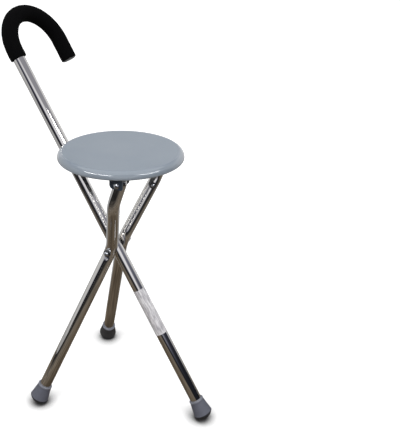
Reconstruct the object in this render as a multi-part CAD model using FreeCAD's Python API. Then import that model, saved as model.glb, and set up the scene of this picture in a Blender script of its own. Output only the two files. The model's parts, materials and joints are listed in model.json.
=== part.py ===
import FreeCAD, Part
import math
import os

# Walking stick seat, standing open on its three feet. Millimetres, +Z up.
# +X points away from the handle, -Y is the left leg's side, and the handle's crook reaches towards +Y.
# The floor is z = 0, and the origin lies on the floor under the middle of the outline.
# Shaft parts are drawn along an upright shaft and leg parts as they lie when folded beside it,
# with the hub bolt at their zero point. Both are then leaned over into place.

# Tubes, stance and hub
tube_diameter = 22.0
tube_wall = 1.5
shaft_lean = 32.0
leg_lean = 18.7
foot_reach = 356.1
hub_bolt_diameter = 8.0
hub_running_gap = 0.05
face_gap = 0.1

# Crook handle and its foam sleeve
crook_width = 129.4
crook_spring_height = 391.7
crook_tail = 39.1
foam_wall = 3.9
foam_below_crook = 12.8
foam_edge_radius = 1.5
end_plug_length = 14.0
end_plug_flange = 1.2
end_plug_flange_diameter = 25.0

# Rubber ferrules
ferrule_rim_diameter = 36.4
ferrule_neck_diameter = 26.6
ferrule_lip_diameter = 27.6
ferrule_height = 31.0
ferrule_lip_height = 3.0
ferrule_floor = 2.0
ferrule_rim_drop = 1.2
ferrule_dome_radius = 19.9
ferrule_dome_drop = 8.5
ferrule_washer_thickness = 1.5

# Bent legs
leg_vertex_offset = 17.2
leg_vertex_height = 5.1
leg_lower_splay = 17.9
leg_upper_splay = 24.3
leg_shoulder_height = 130.4
leg_hub_bend_radius = 60.0
leg_press_start = 123.0
leg_press_end = 140.0
leg_press_width = 21.5
leg_press_thickness = 14.5
leg_eye_solid = 12.0
seat_pivot_reach = 174.0

# Round buffer screwed to the right leg, on the side towards the shaft and turned a little forward
buffer_height = 114.5
buffer_turn = 25.0
buffer_diameter = 12.0
buffer_thickness = 2.2
buffer_head_diameter = 7.0
buffer_head_height = 2.6
buffer_screw_reach = 6.0

# Pressed seats in the legs at the hub
hub_spacer_thickness = 2.7
hub_spacer_diameter = 12.7
hub_pressed_thickness = 16.6
hub_pocket_length = 30.0
hub_core_below = 27.0
hub_core_above = 33.0
hub_washer_thickness = 1.5
hub_washer_diameter = 14.0
hub_head_diameter = 10.0
hub_head_height = 4.6
hub_nut_flats = 13.0
hub_nut_height = 6.5
hub_nut_dome_radius = 5.6

# Round moulded seat
seat_radius = 109.0
seat_offset = 45.1
seat_rim_above_pivot = 15.9
seat_rise = 11.4
seat_drop = 2.5
seat_round_width = 11.0
seat_wall = 3.0
seat_rib_thickness = 2.5
seat_rib_depth = 5.0
seat_rib_count = 12
seat_ring_rib_radius = 38.0
seat_boss_diameter = 10.0

# Seat frame, its screws and the pivot bolts
frame_thickness = 3.0
frame_back = 13.5
frame_front = 10.5
ear_below_pivot = 6.5
ear_round = 6.4
frame_screw_spacing = 48.0
screw_diameter = 4.0
screw_length = 9.0
screw_head_diameter = 8.0
screw_head_height = 2.2
pivot_bolt_diameter = 6.0
pivot_washer_thickness = 2.0
pivot_washer_diameter = 14.0
pivot_head_diameter = 10.0
pivot_head_height = 3.6
pivot_nut_diameter = 13.0
pivot_nut_length = 9.5

# Guide loop that rides on the shaft, and the collar that it rests on
loop_rod_diameter = 5.0
loop_clearance = 1.0
loop_corner_radius = 7.0
loop_inset = 5.0
guide_plate_length = 29.0
guide_plate_width = 48.0
guide_plate_margin = 10.0
collar_height = 12.0
collar_wall = 5.5
collar_front_wall = 2.5
rivet_diameter = 5.0
rivet_head_diameter = 8.0
rivet_head_height = 1.8

# Blank label on the shaft
label_top = 91.0
label_length = 95.0
label_thickness = 0.2
label_span = 170.0
label_turn = -62.0

# Worked out from the sizes above
tube_radius = tube_diameter / 2
bore_radius = tube_radius - tube_wall
bolt_radius = hub_bolt_diameter / 2
lean = math.radians(shaft_lean)
leg_angle = math.radians(leg_lean)
open_angle = shaft_lean + leg_lean
hub_height = ferrule_dome_radius + foot_reach * math.cos(lean)
leg_foot_drop = (hub_height - ferrule_dome_radius) / math.cos(leg_angle)
foam_radius = tube_radius + foam_wall
crook_radius = crook_width / 2
crook_end = crook_spring_height - crook_tail
crook_top = crook_spring_height + crook_radius
outline_back = crook_top * math.sin(lean) + foam_radius
outline_front = (foot_reach + ferrule_dome_drop) * math.sin(lean) + ferrule_rim_diameter / 2 * math.cos(lean)
hub_x = (outline_back - outline_front) / 2
tube_end_above_rim = ferrule_floor + ferrule_washer_thickness
lower_slope = math.tan(math.radians(leg_lower_splay))
upper_slope = math.tan(math.radians(leg_upper_splay))
leg_foot_offset = leg_vertex_offset + (leg_foot_drop + leg_vertex_height) * lower_slope
shoulder_offset = leg_vertex_offset + (leg_shoulder_height - leg_vertex_height) * upper_slope
splay = math.radians(leg_lower_splay)
rim_reach = ferrule_dome_drop * math.sin(splay) + ferrule_rim_diameter / 2 * math.cos(splay)
outline_left = leg_foot_offset + rim_reach
outline_right = crook_width + foam_radius
hub_y = (outline_left - outline_right) / 2
hub_inner_face = tube_radius + hub_spacer_thickness + face_gap
eye_radius = leg_press_width / 2
pivot_inner_face = shoulder_offset - leg_press_thickness / 2
pivot_outer_face = shoulder_offset + leg_press_thickness / 2
pivot_x = hub_x + seat_pivot_reach * math.sin(leg_angle)
pivot_z = hub_height + seat_pivot_reach * math.cos(leg_angle)
seat_x = pivot_x - seat_offset
guide_plate_reach = seat_radius - guide_plate_margin
seat_z = pivot_z + seat_rim_above_pivot
frame_top = seat_rise - seat_wall - seat_rib_depth
frame_low = frame_top - frame_thickness
ear_outer = pivot_outer_face + face_gap + pivot_washer_thickness + frame_thickness
seat_turn = 90.0 - shaft_lean
loop_rod_radius = loop_rod_diameter / 2
loop_side = tube_radius + loop_clearance + loop_rod_radius
plane = {"x": FreeCAD.Vector(1, 0, 0), "y": FreeCAD.Vector(0, 1, 0), "z": FreeCAD.Vector(0, 0, 1)}
origin = FreeCAD.Vector(0, 0, 0)
seat_centre = FreeCAD.Vector(seat_x, hub_y, seat_z)
sides = {"left": -1, "right": 1}


def point(x, y, z):
    return FreeCAD.Vector(x, y, z)


def placed(shape, angle):
    """Lean a shape over about the hub's Y axis and move it from the zero point to the hub."""
    moved = shape.copy()
    moved.rotate(origin, plane["y"], angle)
    moved.translate(point(hub_x, hub_y, hub_height))
    return moved


def on_shaft(shape):
    return placed(shape, -shaft_lean)


def on_leg(shape):
    return placed(shape, leg_lean)


def under_seat(shape):
    moved = shape.copy()
    moved.translate(seat_centre)
    return moved


def write(name, shape):
    shape.exportStep("parts/" + name + ".step")


def box(x_low, x_high, y_low, y_high, z_low, z_high):
    return Part.makeBox(x_high - x_low, y_high - y_low, z_high - z_low, point(x_low, y_low, z_low))


def cylinder(radius, start, direction, length):
    return Part.makeCylinder(radius, length, start, direction)


def turned(outline_edges):
    """Solid of revolution about Z of a closed outline in the XZ plane."""
    face = Part.Face(Part.Wire(outline_edges))
    return face.revolve(origin, plane["z"], 360)


def line(start, end):
    return Part.LineSegment(start, end).toShape()


def arc(start, middle, end):
    return Part.Arc(start, middle, end).toShape()


def rounded_path(corners, radii):
    """Straight runs between the corners, with a round bend at each inner corner."""
    edges = []
    start = corners[0]
    for index, radius in enumerate(radii, 1):
        corner = corners[index]
        back = (corners[index - 1] - corner).normalize()
        ahead = (corners[index + 1] - corner).normalize()
        half_angle = back.getAngle(ahead) / 2
        inwards = (back + ahead).normalize()
        bend_start = corner + back * (radius / math.tan(half_angle))
        bend_end = corner + ahead * (radius / math.tan(half_angle))
        bend_middle = corner + inwards * (radius / math.sin(half_angle) - radius)
        edges.append(line(start, bend_start))
        edges.append(arc(bend_start, bend_middle, bend_end))
        start = bend_end
    edges.append(line(start, corners[-1]))
    return edges


def round_rod(path_edges, radius):
    """Solid rod of one radius along a smooth path."""
    path = Part.Wire(path_edges)
    first = path_edges[0]
    start = first.Vertexes[0].Point
    direction = first.tangentAt(first.FirstParameter)
    profile = Part.Wire(Part.makeCircle(radius, start, direction))
    return path.makePipeShell([profile], True, False)


def ring(outer_radius, inner_radius, start, direction, length):
    hole = cylinder(inner_radius, start, direction, length)
    return cylinder(outer_radius, start, direction, length).cut(hole)


def dome_head(radius, height, start, direction):
    """Round bolt head: a short rim with a spherical cap on it, its flat underside at the start."""
    rim = height * 0.3
    cap = height - rim
    sphere_radius = (radius ** 2 + cap ** 2) / (2 * cap)
    half = math.asin(radius / sphere_radius) / 2
    crown = height - sphere_radius
    cap_middle = point(sphere_radius * math.sin(half), 0, crown + sphere_radius * math.cos(half))
    head = turned([
        line(origin, point(radius, 0, 0)),
        line(point(radius, 0, 0), point(radius, 0, rim)),
        arc(point(radius, 0, rim), cap_middle, point(0, 0, height)),
        line(point(0, 0, height), origin),
    ])
    head.Placement = FreeCAD.Placement(start, FreeCAD.Rotation(plane["z"], direction))
    return head


def crook_path(start_height, end_height):
    """Centre line of the shaft from one height up over the crook and down to another."""
    spring = point(0, 0, crook_spring_height)
    far_spring = point(0, crook_width, crook_spring_height)
    crown = point(0, crook_radius, crook_top)
    return [
        line(point(0, 0, start_height), spring),
        arc(spring, crown, far_spring),
        line(far_spring, point(0, crook_width, end_height)),
    ]


def main_shaft():
    bottom = -(foot_reach + ferrule_dome_drop - tube_end_above_rim)
    path = crook_path(bottom, crook_end)
    tube = round_rod(path, tube_radius).cut(round_rod(path, bore_radius))
    through = cylinder(bolt_radius, point(0, -tube_diameter, 0), plane["y"], 2 * tube_diameter)
    pinned = cylinder(
        rivet_diameter / 2, point(0, -tube_diameter, rivet_height()), plane["y"], 2 * tube_diameter)
    return tube.cut(through).cut(pinned)


def handle_grip():
    path = crook_path(crook_spring_height - foam_below_crook, crook_end)
    sleeve = round_rod(path, foam_radius)
    ends = [edge for edge in sleeve.Edges if on_sleeve_end(edge)]
    sleeve = sleeve.makeFillet(foam_edge_radius, ends)
    return sleeve.cut(round_rod(path, tube_radius))


def on_sleeve_end(edge):
    """True for the two outer rims where the foam sleeve stops."""
    centre = edge.CenterOfMass
    is_ring = abs(edge.Length - 2 * math.pi * foam_radius) < 0.5
    return is_ring and centre.z < crook_spring_height - 1


def handle_end_plug():
    """Plug pushed into the open end of the crook, with a flange over the foam's end."""
    seat = point(0, crook_width, crook_end)
    stem = cylinder(bore_radius, seat, plane["z"], end_plug_length)
    flange = cylinder(end_plug_flange_diameter / 2, seat - plane["z"] * end_plug_flange, plane["z"],
                      end_plug_flange)
    flange = flange.makeFillet(end_plug_flange / 2, [low_edge(flange)])
    return stem.fuse(flange).removeSplitter()


def low_edge(shape):
    rings = [edge for edge in shape.Edges if edge.Closed]
    return min(rings, key=lambda edge: edge.CenterOfMass.z)


def ferrule():
    """Domed rubber foot with its widest rim at z = 0 and the tube's axis on Z."""
    rim = ferrule_rim_diameter / 2
    neck = ferrule_neck_diameter / 2
    lip = ferrule_lip_diameter / 2
    dome_centre = ferrule_dome_drop
    bottom = dome_centre - ferrule_dome_radius
    dome_edge = math.sqrt(ferrule_dome_radius ** 2 - (dome_centre + ferrule_rim_drop) ** 2)
    half = math.asin(dome_edge / ferrule_dome_radius) / 2
    dome_middle = point(ferrule_dome_radius * math.sin(half), 0,
                        dome_centre - ferrule_dome_radius * math.cos(half))
    lip_base = ferrule_height - ferrule_lip_height
    return turned([
        arc(point(0, 0, bottom), dome_middle, point(dome_edge, 0, -ferrule_rim_drop)),
        line(point(dome_edge, 0, -ferrule_rim_drop), point(rim, 0, 0)),
        line(point(rim, 0, 0), point(neck, 0, lip_base)),
        line(point(neck, 0, lip_base), point(lip, 0, lip_base)),
        line(point(lip, 0, lip_base), point(lip, 0, ferrule_height)),
        line(point(lip, 0, ferrule_height), point(tube_radius, 0, ferrule_height)),
        line(point(tube_radius, 0, ferrule_height), point(tube_radius, 0, ferrule_floor)),
        line(point(tube_radius, 0, ferrule_floor), point(0, 0, ferrule_floor)),
        line(point(0, 0, ferrule_floor), point(0, 0, bottom)),
    ])


def ferrule_washer():
    return cylinder(tube_radius, point(0, 0, ferrule_floor), plane["z"], ferrule_washer_thickness)


def at_shaft_foot(shape):
    moved = shape.copy()
    moved.translate(point(0, 0, -(foot_reach + ferrule_dome_drop)))
    return on_shaft(moved)


def at_leg_foot(shape, side):
    """Put a foot part, drawn on Z, at the end of a leg's splayed lower run."""
    moved = shape.copy()
    moved.translate(point(0, 0, -ferrule_dome_drop))
    moved.rotate(origin, plane["x"], side * leg_lower_splay)
    moved.translate(point(0, side * leg_foot_offset, -leg_foot_drop))
    return on_leg(moved)


def leg_corner(side, offset, height):
    return point(0, side * offset, height)


def press_offset():
    """Distance from the shaft's middle plane at which a leg's upper run meets its pressed neck."""
    return leg_vertex_offset + (leg_press_start - leg_vertex_height) * upper_slope


def leg_path(side):
    """Centre line of a leg from its foot, past the hub, up to the pressed neck."""
    reach = ferrule_dome_drop - tube_end_above_rim
    foot_end = leg_foot_offset + reach * math.sin(splay)
    corners = [
        leg_corner(side, foot_end, -leg_foot_drop - reach * math.cos(splay)),
        leg_corner(side, leg_vertex_offset, leg_vertex_height),
        leg_corner(side, press_offset(), leg_press_start),
    ]
    return rounded_path(corners, [leg_hub_bend_radius])


def round_section(side, radius, flat_half):
    """End of the round upper run, cut into four arcs to match the pressed section's four edges."""
    centre = point(0, side * press_offset(), leg_press_start)
    slant = math.radians(leg_upper_splay)
    across = point(0, math.cos(slant), -side * math.sin(slant))
    split = math.asin(flat_half / radius)
    corner_angles = [math.pi / 2 - split, math.pi / 2 + split, 1.5 * math.pi - split, 1.5 * math.pi + split]
    edges = []
    for index, start_angle in enumerate(corner_angles):
        end_angle = corner_angles[(index + 1) % 4] + (2 * math.pi if index == 3 else 0)
        angles = [start_angle, (start_angle + end_angle) / 2, end_angle]
        edges.append(arc(*[centre + plane["x"] * radius * math.cos(a) + across * radius * math.sin(a)
                           for a in angles]))
    return Part.Wire(edges)


def pressed_section(side, width, thickness):
    """Flattened tube section: two straight faces joined by half circles."""
    centre = point(0, side * shoulder_offset, leg_press_end)
    end_radius = thickness / 2
    flat_half = width / 2 - end_radius
    corners = [
        centre + point(flat_half, end_radius, 0),
        centre + point(-flat_half, end_radius, 0),
        centre + point(-flat_half, -end_radius, 0),
        centre + point(flat_half, -end_radius, 0),
    ]
    tips = [centre - point(width / 2, 0, 0), centre + point(width / 2, 0, 0)]
    return Part.Wire([
        line(corners[0], corners[1]),
        arc(corners[1], tips[0], corners[2]),
        line(corners[2], corners[3]),
        arc(corners[3], tips[1], corners[0]),
    ])


def pressed_top(side, inset, end_height):
    """Tube pressed from round to flat at the shoulder, kept inset from the outer surface."""
    width = leg_press_width - 2 * inset
    thickness = leg_press_thickness - 2 * inset
    flat_half = (width - thickness) / 2
    neck = Part.makeLoft([
        round_section(side, tube_radius - inset, flat_half),
        pressed_section(side, width, thickness),
    ], True, True)
    flat = Part.Face(pressed_section(side, width, thickness))
    return neck.fuse(flat.extrude(point(0, 0, end_height - leg_press_end)))


def eye_limit():
    """Space that a leg keeps: everything below the pivot, and a round eye above it."""
    reach = 2 * foot_reach
    below = box(-reach, reach, -reach, reach, -reach, seat_pivot_reach)
    eye = cylinder(eye_radius, point(0, -reach, seat_pivot_reach), plane["y"], 2 * reach)
    return below.fuse(eye)


def hub_pocket(side):
    """Space cleared by the dent on a leg's outer side, where the bolt head or nut sits."""
    mouth = leg_vertex_offset + tube_diameter * 2
    floor = hub_inner_face + hub_pressed_thickness
    wall_depth = tube_diameter / 2
    corners = [
        (floor, hub_pocket_length / 2 - wall_depth / 2),
        (floor, -hub_pocket_length / 2 + wall_depth / 2),
        (mouth, -hub_pocket_length / 2 - wall_depth),
        (mouth, hub_pocket_length / 2 + wall_depth),
    ]
    points = [point(-tube_diameter, side * y, z) for y, z in corners]
    face = Part.Face(Part.makePolygon(points + points[:1]))
    return face.extrude(point(2 * tube_diameter, 0, 0))


def leg(side):
    outer = round_rod(leg_path(side), tube_radius)
    outer = outer.fuse(pressed_top(side, 0.0, seat_pivot_reach + eye_radius)).common(eye_limit())
    bore = round_rod(leg_path(side), bore_radius)
    core = box(-tube_diameter, tube_diameter, -2 * shoulder_offset, 2 * shoulder_offset,
               -hub_core_below, hub_core_above)
    bore = bore.cut(core).fuse(pressed_top(side, tube_wall, seat_pivot_reach - leg_eye_solid))
    inner_side = [side * hub_inner_face, -side * tube_diameter]
    crushed = box(-tube_diameter, tube_diameter, min(inner_side), max(inner_side),
                  -hub_pocket_length, hub_pocket_length)
    hub_hole = cylinder(bolt_radius + hub_running_gap, point(0, -2 * shoulder_offset, 0), plane["y"],
                        4 * shoulder_offset)
    eye_hole = cylinder(pivot_bolt_diameter / 2 + hub_running_gap,
                        point(0, -2 * shoulder_offset, seat_pivot_reach), plane["y"], 4 * shoulder_offset)
    shape = outer.cut(bore).cut(crushed).cut(hub_pocket(side)).cut(hub_hole).cut(eye_hole)
    if side == sides["right"]:
        shape = shape.cut(buffer_shank())
    return shape.removeSplitter()


def buffer_axis():
    """Place on the right leg's centre line behind the buffer, and the direction in which the buffer faces."""
    offset = leg_vertex_offset + (buffer_height - leg_vertex_height) * upper_slope
    slant = math.radians(leg_upper_splay)
    turn = math.radians(buffer_turn)
    to_shaft = point(0, -math.cos(slant), math.sin(slant))
    return point(0, offset, buffer_height), plane["x"] * math.sin(turn) + to_shaft * math.cos(turn)


def buffer_shank():
    centre, outwards = buffer_axis()
    start = tube_radius - buffer_screw_reach
    length = buffer_screw_reach + buffer_thickness
    return cylinder(screw_diameter / 2, centre + outwards * start, outwards, length)


def leg_buffer():
    """Black disc round a screw, hollowed to sit on the leg's tube."""
    centre, outwards = buffer_axis()
    start = centre + outwards * (tube_radius - buffer_thickness)
    disc = ring(buffer_diameter / 2, screw_diameter / 2, start, outwards, 2 * buffer_thickness)
    slant = math.radians(leg_upper_splay)
    run = point(0, math.sin(slant), math.cos(slant))
    return disc.cut(cylinder(tube_radius, centre - run * buffer_diameter, run, 2 * buffer_diameter))


def buffer_screw():
    centre, outwards = buffer_axis()
    head_seat = centre + outwards * (tube_radius + buffer_thickness)
    head = dome_head(buffer_head_diameter / 2, buffer_head_height, head_seat, outwards)
    return buffer_shank().fuse(head)


def hub_spacer(side):
    """Black plastic spacer, hollowed to sit on the round shaft, flat towards the leg."""
    outwards = plane["y"] * side
    start = outwards * (tube_radius - 2 * hub_spacer_thickness)
    length = 3 * hub_spacer_thickness
    block = ring(hub_spacer_diameter / 2, bolt_radius, start, outwards, length)
    return block.cut(cylinder(tube_radius, point(0, 0, -tube_diameter), plane["z"], 2 * tube_diameter))


def hub_washer_seat():
    return hub_inner_face + hub_pressed_thickness + face_gap


def hub_washer(side):
    outwards = plane["y"] * side
    start = outwards * hub_washer_seat()
    return ring(hub_washer_diameter / 2, bolt_radius, start, outwards, hub_washer_thickness)


def hub_plastic_washer(side):
    outwards = plane["y"] * side
    start = outwards * (hub_washer_seat() + hub_washer_thickness)
    return ring(hub_spacer_diameter / 2, bolt_radius, start, outwards, hub_washer_thickness)


def hub_bolt():
    """Round-headed bolt through both legs and the shaft, with its head on the left."""
    head_seat = hub_washer_seat() + 2 * hub_washer_thickness
    shank_end = head_seat + hub_nut_height
    shank = cylinder(bolt_radius, point(0, -head_seat, 0), plane["y"], head_seat + shank_end)
    head = dome_head(hub_head_diameter / 2, hub_head_height, point(0, -head_seat, 0), plane["y"] * -1)
    return shank.fuse(head)


def hexagon(flats, start, direction, length):
    """Six-sided prism along Y."""
    radius = flats / math.sqrt(3)
    corners = [start + point(math.sin(turn), 0, math.cos(turn)) * radius
               for turn in [math.radians(60 * index) for index in range(7)]]
    return Part.Face(Part.makePolygon(corners)).extrude(direction * length)


def hub_cap_nut():
    start = point(0, hub_washer_seat() + 2 * hub_washer_thickness, 0)
    body = hexagon(hub_nut_flats, start, plane["y"], hub_nut_height)
    crown = start + plane["y"] * hub_nut_height
    dome = Part.makeSphere(hub_nut_dome_radius, crown)
    cavity = cylinder(bolt_radius, start, plane["y"], hub_nut_height)
    return body.fuse(dome).cut(cavity)


def to_seat(shaft_x, shaft_height):
    """Turn a place beside the upright shaft, as (X, height), into (X, Z) measured from the seat's middle."""
    x = hub_x + shaft_x * math.cos(lean) - shaft_height * math.sin(lean)
    z = hub_height + shaft_x * math.sin(lean) + shaft_height * math.cos(lean)
    return x - seat_x, z - seat_z


def loop_height():
    """Height on the shaft at which the loop's bar lies when the seat is open.

    The bar is as far behind the shaft when the seat is folded flat as it is when the seat is open.
    """
    open_turn = math.radians(open_angle)
    seat_swing = math.radians(seat_turn)
    from_pivot = -loop_side - seat_pivot_reach * math.sin(open_turn)
    along = (-loop_side - from_pivot * math.cos(seat_swing)) / math.sin(seat_swing)
    return seat_pivot_reach * math.cos(open_turn) + along


def collar_top():
    return loop_height() - loop_rod_radius - 3 * face_gap


def rivet_height():
    return collar_top() - collar_height / 2


def guide_loop():
    """Steel rod bent to a U round the back of the shaft, with both ends let into the guide plate."""
    bar_x, bar_z = to_seat(-loop_side, loop_height())
    top_x = -guide_plate_reach + loop_inset
    corners = [
        point(top_x, -loop_side, frame_top),
        point(bar_x, -loop_side, bar_z),
        point(bar_x, loop_side, bar_z),
        point(top_x, loop_side, frame_top),
    ]
    rod = round_rod(rounded_path(corners, [loop_corner_radius, loop_corner_radius]), loop_rod_radius)
    half = loop_side + loop_rod_diameter
    return rod.cut(box(-seat_radius, 0, -half, half, frame_top, seat_rise))


def guide_plate():
    plate = box(-guide_plate_reach, -guide_plate_reach + guide_plate_length,
                -guide_plate_width / 2, guide_plate_width / 2, frame_low, frame_top)
    plate = plate.cut(guide_loop())
    for place in guide_screw_places():
        plate = plate.cut(cylinder(screw_diameter / 2, place, plane["z"], frame_thickness))
    return plate


def guide_screw_places():
    x = -guide_plate_reach + guide_plate_length * 0.7
    return [point(x, side * guide_plate_width * 0.3, frame_low) for side in sides.values()]


def frame_screw_places():
    x = seat_offset + (frame_front - frame_back) / 2
    return [point(x, y * frame_screw_spacing / 2, frame_low) for y in (-2, -1, 1, 2)]


def pan_screw(place):
    """Pan head screw driven up from under a plate, whose underside is at the place."""
    shank = cylinder(screw_diameter / 2, place, plane["z"], screw_length)
    return shank.fuse(dome_head(screw_head_diameter / 2, screw_head_height, place, plane["z"] * -1))


def screw_group(places):
    return Part.makeCompound([under_seat(pan_screw(place)) for place in places])


def stop_collar():
    """Steel ring on the shaft under the loop, planed flat in front so that the folded seat clears it."""
    base = point(0, 0, collar_top() - collar_height)
    outer_radius = tube_radius + collar_wall
    shape = ring(outer_radius, tube_radius, base, plane["z"], collar_height)
    front = tube_radius + collar_front_wall
    shape = shape.cut(box(front, 2 * outer_radius, -2 * outer_radius, 2 * outer_radius,
                          base.z, base.z + collar_height))
    return shape.cut(collar_rivet())


def collar_rivet():
    half = tube_radius + collar_wall
    centre = point(0, 0, rivet_height())
    shank = cylinder(rivet_diameter / 2, centre - plane["y"] * half, plane["y"], 2 * half)
    for side in sides.values():
        outwards = plane["y"] * side
        head = dome_head(rivet_head_diameter / 2, rivet_head_height + face_gap,
                         centre + outwards * (half - face_gap), outwards)
        shank = shank.fuse(head)
    return shank


def shaft_label():
    """Blank paper label wrapped part of the way round the lower shaft."""
    start = point(0, 0, -label_top - label_length)
    inner_radius = tube_radius + face_gap
    outer = Part.makeCylinder(inner_radius + label_thickness, label_length, start, plane["z"], label_span)
    inner = cylinder(inner_radius, start, plane["z"], label_length)
    band = outer.cut(inner)
    band.rotate(origin, plane["z"], label_turn - label_span / 2)
    return band


def seat_skin():
    """Round seat top whose softly rounded edge turns down to a thin rim, hollow below."""
    top_edge = seat_radius - seat_round_width
    inner_top = seat_rise - seat_wall
    inner_radius = seat_radius - seat_wall
    quarter = math.sqrt(0.5)
    rim_end = seat_radius - seat_drop
    rim_middle = point(rim_end + seat_drop * quarter, 0, -seat_drop * quarter)
    return turned([
        line(point(0, 0, seat_rise), point(top_edge, 0, seat_rise)),
        ellipse_arc(top_edge, seat_round_width, seat_rise, 1),
        arc(point(seat_radius, 0, 0), rim_middle, point(rim_end, 0, -seat_drop)),
        line(point(rim_end, 0, -seat_drop), point(inner_radius, 0, -seat_drop)),
        line(point(inner_radius, 0, -seat_drop), point(inner_radius, 0, 0)),
        ellipse_arc(top_edge, inner_radius - top_edge, inner_top, -1),
        line(point(top_edge, 0, inner_top), point(0, 0, inner_top)),
        line(point(0, 0, inner_top), point(0, 0, seat_rise)),
    ])


def ellipse_arc(centre_x, half_width, half_height, direction):
    """Quarter ellipse in the XZ plane between its top and its outer end."""
    steps = [index / 8 for index in range(9)]
    if direction < 0:
        steps.reverse()
    points = [point(centre_x + half_width * math.sin(step * math.pi / 2), 0,
                    half_height * math.cos(step * math.pi / 2)) for step in steps]
    curve = Part.BSplineCurve()
    curve.interpolate(points)
    return curve.toShape()


def seat_ribs():
    """Radial ribs, one ring rib and the screw bosses under the seat top."""
    under = seat_rise - seat_wall
    low = frame_top
    outer = seat_radius - seat_round_width + seat_wall
    ring_inner = seat_ring_rib_radius - seat_rib_thickness
    ribs = ring(seat_ring_rib_radius, ring_inner, point(0, 0, low), plane["z"], seat_rib_depth)
    for index in range(seat_rib_count):
        rib = box(ring_inner, outer, -seat_rib_thickness / 2,
                  seat_rib_thickness / 2, low, under)
        rib.rotate(origin, plane["z"], (index + 0.5) * 360 / seat_rib_count)
        ribs = ribs.fuse(rib)
    for place in frame_screw_places() + guide_screw_places():
        top_of_plate = point(place.x, place.y, frame_top)
        ribs = ribs.fuse(cylinder(seat_boss_diameter / 2, top_of_plate, plane["z"], under - frame_top))
    return ribs


def seat_shell():
    shape = seat_skin().fuse(seat_ribs())
    for place in frame_screw_places() + guide_screw_places():
        shape = shape.cut(cylinder(screw_diameter / 2, place, plane["z"], screw_length))
    return shape.removeSplitter()


def seat_frame():
    """Steel strap across the seat with an ear bent down at each end, outside the legs."""
    back = seat_offset - frame_back
    front = seat_offset + frame_front
    strap = box(back, front, -ear_outer, ear_outer, frame_low, frame_top)
    low = -seat_rim_above_pivot - ear_below_pivot
    for side in sides.values():
        edges = [side * ear_outer, side * (ear_outer - frame_thickness)]
        ear = box(back, front, min(edges), max(edges), low, frame_top)
        ear = ear.makeFillet(ear_round, [upright_edge(ear, back, low)])
        ear = ear.makeFillet(ear_round / 2, [upright_edge(ear, front, low)])
        strap = strap.fuse(ear)
    strap = strap.removeSplitter()
    outer_bends = [edge for edge in strap.Edges
                   if abs(abs(edge.CenterOfMass.y) - ear_outer) < 0.01
                   and abs(edge.CenterOfMass.z - frame_top) < 0.01]
    strap = strap.makeFillet(frame_thickness - face_gap, outer_bends)
    bolt_hole = cylinder(pivot_bolt_diameter / 2, point(seat_offset, -2 * ear_outer, -seat_rim_above_pivot),
                         plane["y"], 4 * ear_outer)
    strap = strap.cut(bolt_hole)
    for place in frame_screw_places():
        strap = strap.cut(cylinder(screw_diameter / 2, place, plane["z"], frame_thickness))
    return strap


def upright_edge(shape, x, z):
    """Edge along Y of a plate, at one X and Z."""
    return min(shape.Edges, key=lambda edge: abs(edge.CenterOfMass.x - x) + abs(edge.CenterOfMass.z - z))


def pivot_place(side, offset):
    return point(seat_offset, side * offset, -seat_rim_above_pivot)


def pivot_bolt(side):
    inwards = plane["y"] * -side
    length = ear_outer - pivot_inner_face + pivot_washer_thickness + pivot_nut_length * 0.7
    shank = cylinder(pivot_bolt_diameter / 2, pivot_place(side, ear_outer), inwards, length)
    head = dome_head(pivot_head_diameter / 2, pivot_head_height, pivot_place(side, ear_outer), inwards * -1)
    return shank.fuse(head)


def pivot_washers(side):
    """Nylon washers on the outer and the inner face of a leg's eye."""
    outwards = plane["y"] * side
    radius = pivot_bolt_diameter / 2
    outer = ring(pivot_washer_diameter / 2, radius, pivot_place(side, pivot_outer_face + face_gap), outwards,
                 pivot_washer_thickness)
    inner = ring(pivot_washer_diameter / 2, radius, pivot_place(side, pivot_inner_face - face_gap),
                 outwards * -1, pivot_washer_thickness)
    return Part.makeCompound([outer, inner])


def pivot_nut(side):
    """Black plastic capped nut on the inner end of a pivot bolt."""
    inwards = plane["y"] * -side
    seat = pivot_inner_face - face_gap - pivot_washer_thickness
    body = cylinder(pivot_nut_diameter / 2, pivot_place(side, seat), inwards, pivot_nut_length)
    far_edge = min((edge for edge in body.Edges if edge.Closed),
                   key=lambda edge: abs(edge.CenterOfMass.y))
    body = body.makeFillet(pivot_nut_diameter / 5, [far_edge])
    bolt_end = pivot_bolt(side)
    return body.cut(bolt_end)


def shaft_parts():
    write("main_shaft", on_shaft(main_shaft()))
    write("handle_grip", on_shaft(handle_grip()))
    write("handle_end_plug", on_shaft(handle_end_plug()))
    write("shaft_ferrule", at_shaft_foot(ferrule()))
    write("shaft_ferrule_washer", at_shaft_foot(ferrule_washer()))
    write("stop_collar", on_shaft(stop_collar()))
    write("collar_rivet", on_shaft(collar_rivet()))
    write("shaft_label", on_shaft(shaft_label()))
    write("hub_bolt", on_shaft(hub_bolt()))
    write("hub_cap_nut", on_shaft(hub_cap_nut()))
    for name, side in sides.items():
        write(name + "_hub_spacer", on_shaft(hub_spacer(side)))
        write(name + "_hub_washer", on_shaft(hub_washer(side)))
        write(name + "_hub_plastic_washer", on_shaft(hub_plastic_washer(side)))


def leg_parts():
    for name, side in sides.items():
        write(name + "_leg", on_leg(leg(side)))
        write(name + "_ferrule", at_leg_foot(ferrule(), side))
        write(name + "_ferrule_washer", at_leg_foot(ferrule_washer(), side))
    write("leg_buffer", on_leg(leg_buffer()))
    write("buffer_screw", on_leg(buffer_screw()))


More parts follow.
